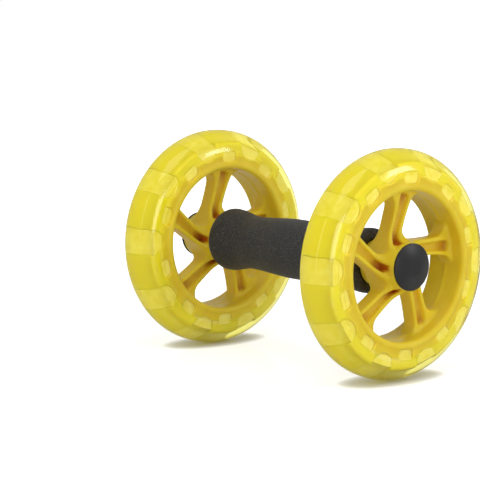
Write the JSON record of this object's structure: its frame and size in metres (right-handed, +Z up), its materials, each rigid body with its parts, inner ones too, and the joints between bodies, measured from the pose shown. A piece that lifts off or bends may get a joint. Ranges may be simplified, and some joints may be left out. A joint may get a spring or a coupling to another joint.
{
  "type": "ab wheel roller",
  "caption": "Hand roller for floor exercise: a contoured foam grip on an axle between free-turning spoked wheels with clear urethane tyres and domed hub caps.",
  "frame": {"origin": "on the floor, midway between the two wheels, straight below the axle", "axes": "+Z up, +Y along the axle towards the left wheel, +X the way it rolls forward"},
  "size_m": [0.14, 0.2046, 0.14],
  "materials": {
    "foam": "matte",
    "steel": "satin",
    "bearing_steel": "polished",
    "bearing_cage": "satin",
    "black_nylon": "matte",
    "black_cap": "satin",
    "yellow_nylon": "gloss",
    "clear_yellow_urethane": "gloss"
  },
  "bodies": {
    "handle": {"foam_grip": "foam", "handle_tube": "steel", "axle_rod": "steel", "left_tube_plug": "black_nylon", "left_inner_washer": "steel", "left_bearing_spacer": "steel", "left_outer_washer": "steel", "left_axle_nut": "steel", "left_inboard_bearing_inner_race": "bearing_steel", "left_outboard_bearing_inner_race": "bearing_steel", "right_tube_plug": "black_nylon", "right_inner_washer": "steel", "right_bearing_spacer": "steel", "right_outer_washer": "steel", "right_axle_nut": "steel", "right_inboard_bearing_inner_race": "bearing_steel", "right_outboard_bearing_inner_race": "bearing_steel"},
    "left_wheel": {"left_wheel_core": "yellow_nylon", "left_tyre": "clear_yellow_urethane", "left_hub_cap": "black_cap", "left_inboard_bearing_outer_race": "bearing_steel", "left_inboard_bearing_shields": "bearing_steel", "left_outboard_bearing_outer_race": "bearing_steel", "left_outboard_bearing_shields": "bearing_steel"},
    "right_wheel": {"right_wheel_core": "yellow_nylon", "right_tyre": "clear_yellow_urethane", "right_hub_cap": "black_cap", "right_inboard_bearing_outer_race": "bearing_steel", "right_inboard_bearing_shields": "bearing_steel", "right_outboard_bearing_outer_race": "bearing_steel", "right_outboard_bearing_shields": "bearing_steel"},
    "left_ball_cages": {"left_inboard_bearing_balls": "bearing_steel", "left_inboard_bearing_cage": "bearing_cage", "left_outboard_bearing_balls": "bearing_steel", "left_outboard_bearing_cage": "bearing_cage"},
    "right_ball_cages": {"right_inboard_bearing_balls": "bearing_steel", "right_inboard_bearing_cage": "bearing_cage", "right_outboard_bearing_balls": "bearing_steel", "right_outboard_bearing_cage": "bearing_cage"}
  },
  "joints": [
    {"name": "left_wheel_spin", "type": "hinge", "parent": "handle", "child": "left_wheel", "pos_m": [0, 0.0835, 0.07], "axis": [0, 1, 0], "continuous": true},
    {"name": "left_ball_cages_spin", "type": "hinge", "parent": "handle", "child": "left_ball_cages", "pos_m": [0, 0.0835, 0.07], "axis": [0, 1, 0], "continuous": true},
    {"name": "right_wheel_spin", "type": "hinge", "parent": "handle", "child": "right_wheel", "pos_m": [0, -0.0835, 0.07], "axis": [0, 1, 0], "continuous": true},
    {"name": "right_ball_cages_spin", "type": "hinge", "parent": "handle", "child": "right_ball_cages", "pos_m": [0, -0.0835, 0.07], "axis": [0, 1, 0], "continuous": true}
  ],
  "couplings": [
    {"joint": "left_ball_cages_spin", "follows": "left_wheel_spin", "ratio": 0.6323},
    {"joint": "right_ball_cages_spin", "follows": "right_wheel_spin", "ratio": 0.6323}
  ]
}
